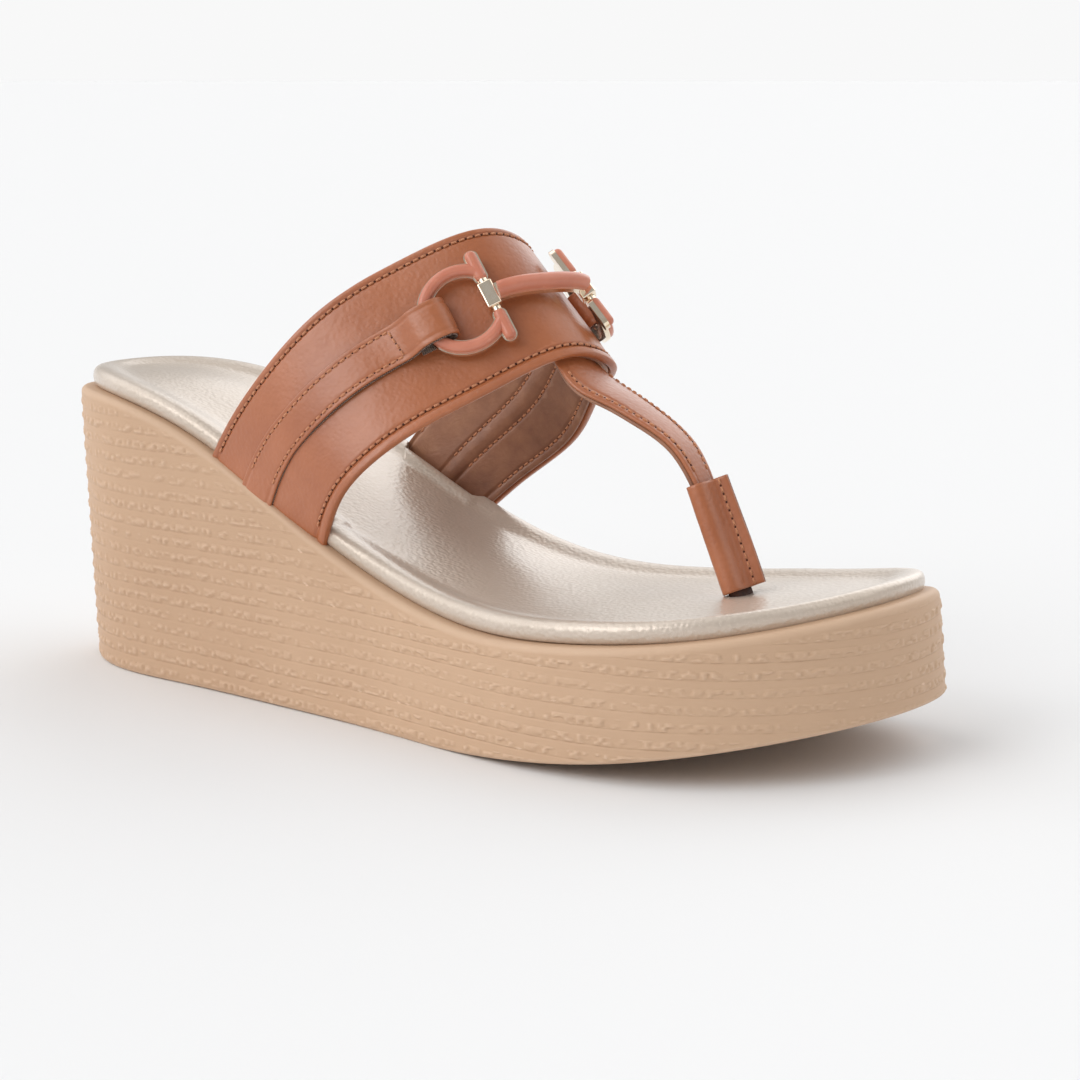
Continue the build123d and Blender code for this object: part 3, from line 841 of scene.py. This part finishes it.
def footbed():
    """Padded footbed: a soft rounded rim, a crease inside it and a gently crowned middle."""
    stations = 700
    u = np.arange(stations) / stations
    profile = smooth_curve(FOOTBED_PROFILE)(np.linspace(0, 1, 44))
    soft, dents = noise_field(21, 32), noise_field(22, 32)
    rim = rim_outline(FOOTBED_INSET)(u)
    notch = np.zeros(stations)
    for side, start, end in BAND_NOTCHES:
        inside = (ease((rim[:, 0] - start) / BAND_NOTCH_FADE)
                  * ease((end - rim[:, 0]) / BAND_NOTCH_FADE))
        notch += inside * (np.sign(rim[:, 1]) == side)

    def swell(x, y):
        return FOOTBED_SWELL * (soft(x / 15 + 9, y / 15 + 9) - 0.5)

    points = []
    for inset, height in profile:
        plan = rim_outline(FOOTBED_INSET + inset)(u)
        cut = notch * BAND_NOTCH_DEPTH * max(0, 1 - inset / 12)
        plan[:, 1] -= np.sign(plan[:, 1]) * cut
        z = TOP_HEIGHT(plan[:, 0]) + height + swell(plan[:, 0], plan[:, 1]) * min(height / 3, 1)
        points.append(np.column_stack([plan, z]))
    cloud = np.vstack(points)

    heel_end, toe_end = points[-1][:, 0].min(), points[-1][:, 0].max()

    def middle_height(x, y, share):
        ends = ease((x - heel_end) / FOOTBED_END_FADE) * ease((toe_end - x) / FOOTBED_END_FADE)
        arch = np.sin(np.pi * share) * ends
        pressed = FOOTBED_DENTS * (dents(x / 22 + 5, y / 17 + 5) - 0.5) * arch
        away = np.hypot(x - POST_FOOT[0], y - TOE_STRAP_Y)
        dimple = POST_DIMPLE_DEPTH * bump(away, 0, POST_DIMPLE_RADIUS)
        pad = FOOTBED_MIDDLE + FOOTBED_CROWN * arch + swell(x, y) + pressed - dimple
        return TOP_HEIGHT(x) + pad

    def base_height(x, y, share):
        return TOP_HEIGHT(x) + FOOTBED_PROFILE[0][1]

    inner, inner_faces = bridge(points[-1], len(cloud) - stations, len(cloud), 44,
                                middle_height, True)
    base, base_faces = bridge(points[0], 0, len(cloud) + len(inner), 16, base_height, False)
    faces = grid_faces(len(profile), stations, wrap_columns=True)
    piece = add_piece("footbed", np.vstack([cloud, inner, base]), faces + inner_faces + base_faces,
                      footbed_leather(),
                      stands_for=["footbed_cover", "footbed_foam"])
    return piece


# ---- the instep band ----
def rippled(surface, seed, amount, length):
    """The same surface with soft leather undulation added."""
    field = noise_field(seed, 64)

    def at(s, t):
        point, across, along, normal = surface(s, t)
        s, t = np.broadcast_arrays(np.asarray(s, float), np.asarray(t, float))
        wave = field(s / 11 + 7, t * length / 15 + 3) - 0.5
        fine = field(s / 4.5 + 31, t * length / 6 + 17) - 0.5
        return point + normal * (amount * (wave + 0.35 * fine))[..., None], across, along, normal

    return at


def inner_face(surface, depth):
    """The underside of a strap at a depth, facing the foot."""

    def at(s, t):
        point, across, along, normal = surface(s, t)
        return point + normal * depth, across, along, -normal

    return at


def band_top(s):
    """Outer face of the band across its width: grooves at the seams and a rolled front edge."""
    roll = ease((s - FRONT_ROW - 0.5) / 0.9) * 0.42
    seams = 0.26 * bump(s, REAR_ROW, 0.5) + 0.3 * bump(s, FRONT_ROW, 0.55)
    share = np.clip((s - REAR_ROW) / (FRONT_ROW - REAR_ROW), 0, 1)
    rear_lip = 0.12 * ease((REAR_ROW - 0.4 - s) / 0.6)
    return roll + rear_lip - seams + 0.22 * np.sin(math.pi * share) ** 0.5


def band_bottom(s):
    """Inner face of the band's outer leather, thicker under the rolled front edge."""
    return -BAND_LEATHER - 0.45 * ease((s - FRONT_ROW - 0.5) / 1.2)


def lining_bottom(s):
    """Foot side of the lining: padded channels between its seams."""
    seams = sum(bump(s, row, 0.7) for row in LINING_ROWS)
    channel = 0.5 * bump(s, (LINING_ROWS[1] + LINING_ROWS[2]) / 2, 2.4)
    return -BAND_LINING - channel + 0.4 * seams


def band():
    """Instep band: outer leather with a rolled edge, and a padded, stitched lining."""
    t_values = np.linspace(*BAND_SPAN, 260)
    face = rippled(band_surface, 31, 0.34, BAND_LENGTH)
    outer = strap_section(BAND_WIDTH, band_top, band_bottom, 0.55, (REAR_ROW, FRONT_ROW))
    sweep("band_leather", face, outer, t_values, STRAP,
          stands_for=["band_outer", "band_stiffener"])
    margin, layer_gap = BAND_LINING_MARGIN, 0.06
    lining = strap_section(BAND_LINING_WIDTH, lambda s: band_bottom(s + margin) - layer_gap,
                           lambda s: lining_bottom(s + margin), 0.45,
                           [row - margin for row in LINING_ROWS], start=margin)
    sweep("band_lining_leather", face, lining, t_values, LINING,
          stands_for=["band_lining"])
    for label, row, lift in (("rear", REAR_ROW, -0.02), ("front", FRONT_ROW, -0.06)):
        sewn_row(f"band_{label}_stitches", face, straight(row), (0.05, 0.95), lift)
    for i, row in enumerate(LINING_ROWS):
        under = inner_face(face, lining_bottom(np.array([row]))[0])
        sewn_row(f"lining_stitches_{i + 1}", under, straight(row), (0.06, 0.94), -0.02)


# ---- the tabs that hold the rings ----
def tab(side, ring_at, foot_at):
    """Leather tab with its woven backing, two seams, a cross seam and the loop round the ring."""
    surface, path = tab_surface(ring_at, foot_at)
    surface = rippled(surface, 41, 0.12, 100)
    half = TAB_HALF_WIDTH * BAND_WIDTH
    steps = np.linspace(0, 1, 800)
    seam = float(steps[np.argmax(path(steps)[:, 0] > TAB_SEAM_AT)])

    def top(s):
        centred = s - half
        grooves = bump(centred, TAB_ROW, 0.45) + bump(centred, -TAB_ROW, 0.45)
        return TAB_LEATHER - 0.16 * grooves + TAB_CROWN * np.cos(centred / half * math.pi / 2)

    section = strap_section(2 * half, top, flat(-0.12), 0.32, (half - TAB_ROW, half + TAB_ROW),
                            start=-half)
    proud = 0.15
    backing = strap_section(2 * (half + proud), flat(-0.14), flat(-0.14 - TAB_BACKING), 0.12,
                            start=-half - proud)
    t_values = np.linspace(0, 1, 200)
    sweep(f"{side}_tab_leather", surface, section, t_values, STRAP,
          stands_for=[f"{side}_tab"])
    sweep(f"{side}_tab_backing", surface, backing, t_values, BACKING)
    for sign, label in ((-1, "rear"), (1, "front")):
        sewn_row(f"{side}_tab_{label}_stitches", surface, straight(sign * TAB_ROW),
                 (0.08, seam), 0.43)
    cross_seam(side, surface, seam)


def cross_seam(side, surface, at):
    """Short row of stitches across a tab below its ring."""
    count = int(2 * TAB_ROW / STITCH_PITCH) + 1

    def place(k):
        s = -TAB_ROW + 2 * TAB_ROW * (k + 0.5) / count
        point, across, _, normal = surface(np.array(s), np.array(at))
        return point + normal * (TAB_LEATHER + 0.11), across, normal

    stitch_row(f"{side}_tab_cross_stitches", place, count)
    hole_row(f"{side}_tab_cross_holes", place, count - 1)


# ---- the toe strap, its sleeve and the post ----
def toe_strap():
    """Two-layer toe strap, stitched along both edges."""
    face = rippled(toe_strap_surface, 51, 0.14, 60)
    t_values = np.linspace(0, 1, 130)
    edge, lining_width, layer_gap = 0.1, 1.92, 0.12

    def top(s):
        centred = s - 1
        groove = bump(centred, 0.7, 0.06) + bump(centred, -0.7, 0.06)
        return 0.16 * np.cos(centred * math.pi / 2) - 0.18 * groove

    def lining_foot_side(s):
        return -TOE_STRAP_LINING - 0.12 * np.sin(s / lining_width * math.pi)

    outer = strap_section(2, top, flat(-TOE_STRAP_LEATHER), edge, steps=61, back_step=6, start=-1)
    lining = strap_section(lining_width, flat(-TOE_STRAP_LEATHER - layer_gap), lining_foot_side,
                           edge, start=-lining_width / 2)
    sweep("toe_strap_leather", face, outer, t_values, STRAP,
          stands_for=["toe_strap_outer"])
    sweep("toe_strap_lining_leather", face, lining, t_values, LINING,
          stands_for=["toe_strap_lining"])
    for sign, label in ((-1, "big_toe"), (1, "little_toe")):
        sewn_row(f"toe_strap_{label}_stitches", face,
                 lambda t, sign=sign: sign * (1 - TOE_STRAP_ROW / strap_half_width(t)),
                 (0.2, 0.93), 0.02)


def strap_half_width(t):
    """Half the toe strap's width along it."""
    return np.linalg.norm(STRAP_LINES[0](t) - STRAP_LINES[2](t), axis=-1) / 2


def thick_line(points, thickness):
    """Closed loop at a thickness round a flat line."""
    line = np.asarray(points)
    direction = unit(np.gradient(line, axis=0))
    side = np.stack([-direction[:, 1], direction[:, 0]], axis=1) * thickness / 2
    cap = [line[-1] + direction[-1] * thickness * 0.35, line[0] - direction[0] * thickness * 0.35]
    return np.vstack([line + side, cap[:1], (line - side)[::-1], cap[1:]])


def post_axes():
    """The post's foot, its upward direction and the two directions across it."""
    foot = np.array([POST_FOOT[0], TOE_STRAP_Y, POST_FOOT[1]])
    top = np.array([POST_TOP[0], TOE_STRAP_Y, POST_TOP[1]])
    up = unit(top - foot)
    across = np.array([0.0, 1.0, 0.0])
    return foot, up, across, np.cross(up, across), float(np.linalg.norm(top - foot))


def along_post(name, loop, material, stands_for, sag=0.0):
    """Closed loop carried up the toe post's sleeve, with capped ends."""
    foot, up, across, back, length = post_axes()
    field = noise_field(61, 32)
    rows, count = 46, len(loop)
    points = []
    for level in np.linspace(SLEEVE_GAP, length, rows):
        wave = field(loop[:, 0] / 3 + level / 5 + 4, np.full(count, level / 6 + 2)) - 0.5
        plan = loop * (1 + 0.02 * math.sin(level / 6) + sag * wave[:, None])
        points.append(foot + up * level + plan[:, :1] * across + plan[:, 1:] * back)
    faces = grid_faces(rows, count, wrap_columns=True)
    cap = []
    for a in range(count // 2 - 1):
        b = count - 2 - a
        cap.append((a, b, b - 1, a + 1) if b > a + 2 else (a, b, a + 1))
    last = (rows - 1) * count
    faces += cap
    faces += [tuple(last + corner for corner in reversed(face)) for face in cap]
    return add_piece(name, np.vstack(points), faces, material, stands_for)


def post_sleeve():
    """Leather wrapped round the post, closed by a stitched flange with a woven back."""
    foot, up, across, back, length = post_axes()
    turn, gap = math.radians(FLANGE_TURN - 90), FLANGE_HALF_GAP
    out = np.array([math.cos(turn), math.sin(turn)])
    side = np.array([-math.sin(turn), math.cos(turn)])
    reach = SLEEVE_OUTSIDE[1] / 2 + FLANGE_REACH
    straight_half = (SLEEVE_OUTSIDE[0] - SLEEVE_OUTSIDE[1]) / 2
    round_radius = SLEEVE_OUTSIDE[1] / 2 - 0.5

    # The leather's middle line, from one flange end to the other.
    line = [out * share - side * gap for share in (reach, reach - 1.6, 3.1)]
    for end, angles in ((-1, (-90, -45, 0, 45, 90)), (1, (90, 45, 0, -45, -82))):
        line += [(end * (straight_half + math.cos(angle) * round_radius),
                  math.sin(angle) * round_radius) for angle in np.radians(angles)]
    line += [out * share + side * gap for share in (3.2, reach - 1.6, reach)]
    wrap = thick_line(smooth_curve(line)(np.linspace(0, 1, 110)), SLEEVE_LEATHER)
    along_post("toe_sleeve", wrap, STRAP, ["toe_post_sleeve"], sag=0.03)
    strip = [out * share + side * (gap + 0.75) for share in np.linspace(2.9, reach + 0.1, 12)]
    along_post("toe_sleeve_backing", thick_line(strip, SLEEVE_BACKING), BACKING,
               ["sleeve_backing"])
    count = int((length - SLEEVE_GAP) / STITCH_PITCH)

    def place(k):
        row = out * SLEEVE_ROW - side * (gap + 0.44)
        level = SLEEVE_GAP + (k + 0.5) * (length - SLEEVE_GAP) / count
        facing = -side[0] * across - side[1] * back
        return foot + up * level + row[0] * across + row[1] * back, up, facing

    stitch_row("sleeve_stitches", place, count)
    hole_row("sleeve_holes", place, count - 1)


# ---- CAD nodes that keep their own shape ----
def finish_node(name, material, edge=0.0):
    """Gives a CAD node its material, and a small softened edge where it has sharp ones."""
    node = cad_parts[name]
    node.data.materials.clear()
    node.data.materials.append(material)
    if edge:
        soft = node.modifiers.new("soft_edge", "BEVEL")
        soft.width = edge * MM
        soft.segments = 3
        soft.limit_method = "ANGLE"
        soft.angle_limit = math.radians(50)


# ---- the studio ----
def look_at(obj, target):
    """Turns an object's -Z axis to a point in metres."""
    direction = Vector(target) - obj.location
    obj.rotation_euler = direction.to_track_quat("-Z", "Y").to_euler()


def soft_studio_light(tree):
    """Even pale surroundings with broad soft lamps in them."""
    background = tree.nodes["Background"]
    background.inputs["Color"].default_value = (1, 1, 1, 1)
    direction = tree.nodes.new("ShaderNodeTexCoord").outputs["Generated"]

    def math_node(operation, first, second):
        made = tree.nodes.new("ShaderNodeMath")
        made.operation = operation
        for socket, value in zip(made.inputs, (first, second)):
            if isinstance(value, bpy.types.NodeSocket):
                tree.links.new(value, socket)
            else:
                socket.default_value = value
        return made.outputs[0]

    def smooth_range(value, low, high, start, end):
        made = tree.nodes.new("ShaderNodeMapRange")
        made.interpolation_type = "SMOOTHSTEP"
        tree.links.new(value, made.inputs["Value"])
        limits = {"From Min": low, "From Max": high, "To Min": start, "To Max": end}
        for socket, limit in limits.items():
            made.inputs[socket].default_value = limit
        return made.outputs["Result"]

    total = AMBIENT
    for place, inner, outer, strength in LAMPS:
        facing = tree.nodes.new("ShaderNodeVectorMath")
        facing.operation = "DOT_PRODUCT"
        tree.links.new(direction, facing.inputs[0])
        facing.inputs[1].default_value = Vector(place).normalized()
        lamp = smooth_range(facing.outputs["Value"], math.cos(math.radians(outer)),
                            math.cos(math.radians(inner)), 0, strength)
        total = math_node("ADD", lamp, total)
    height = tree.nodes.new("ShaderNodeSeparateXYZ")
    tree.links.new(direction, height.inputs[0])
    above = smooth_range(height.outputs["Z"], *HORIZON_FADE, 0, 1)
    lit = math_node("MULTIPLY", total, above)
    horizon = math_node("MULTIPLY", math_node("SUBTRACT", 1, above), HORIZON)
    tree.links.new(math_node("ADD", lit, horizon), background.inputs["Strength"])


def studio():
    """Camera, surrounding light and a plain pale floor."""
    camera = bpy.data.objects.new("camera", bpy.data.cameras.new("camera"))
    bpy.context.scene.collection.objects.link(camera)
    camera.data.sensor_width = 36
    camera.data.lens = CAMERA_LENS
    camera.data.clip_start, camera.data.clip_end = 0.01, 60
    camera.location = Vector(CAMERA_AT) * MM
    look_at(camera, Vector(CAMERA_TARGET) * MM)
    bpy.context.scene.camera = camera

    world = bpy.data.worlds.new("studio")
    world.use_nodes = True
    bpy.context.scene.world = world
    soft_studio_light(world.node_tree)
    bpy.context.scene.view_settings.view_transform = "Standard"

    turns = 96
    angles = [2 * math.pi * k / turns for k in range(turns)]
    points = [(math.cos(a) * FLOOR_RADIUS_METRES, math.sin(a) * FLOOR_RADIUS_METRES, 0)
              for a in angles]
    mesh = bpy.data.meshes.new("floor")
    mesh.from_pydata(points, [], [tuple(range(turns))])
    floor = bpy.data.objects.new("floor", mesh)
    bpy.context.scene.collection.objects.link(floor)
    pale = Finish("pale_floor", Specular_IOR_Level=0.1, Roughness=0.9)
    pale.colour((*FLOOR_COLOUR, 1))
    mesh.materials.append(pale.material)


# ---- the sandal ----
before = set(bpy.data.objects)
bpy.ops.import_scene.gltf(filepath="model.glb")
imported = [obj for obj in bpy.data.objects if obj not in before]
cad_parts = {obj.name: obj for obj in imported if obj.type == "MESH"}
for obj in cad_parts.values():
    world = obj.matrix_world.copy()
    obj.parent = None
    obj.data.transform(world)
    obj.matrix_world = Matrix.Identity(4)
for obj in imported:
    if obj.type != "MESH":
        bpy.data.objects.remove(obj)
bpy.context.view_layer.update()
anchor_low, anchor_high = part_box("toe_post_anchor")
anchor_middle = (anchor_low + anchor_high) / 2 / MM
SHIFT = np.array([anchor_middle.x - ANCHOR_AT[0], anchor_middle.y - ANCHOR_AT[1], 0])

STRAP = strap_leather()
LINING = lining_leather()
THREAD = thread()
# Dark material that paints the shade inside the needle holes.
HOLE_SHADE = needle_hole_shade()
BACKING = woven_backing()

wedge_sole()
footbed()
band()
tab("lateral", LATERAL_RING_AT, 0.03)
tab("medial", MEDIAL_RING_AT, 0.97)
toe_strap()
post_sleeve()

gold, enamel = gilt(), resin()
for ring in ("lateral_ring", "medial_ring", "bar"):
    finish_node(f"{ring}_frame", gold, METAL_EDGE_RADIUS)
    finish_node(f"{ring}_cap", enamel)
board = plain_core("board", tone(120, 100, 78), tone(150, 128, 104), 500)
core = plain_core("reinforcement", tone(58, 34, 26), tone(86, 54, 42), 700)
finish_node("insole_board", board)
finish_node("toe_post_anchor", core)
finish_node("toe_post", core)

studio()
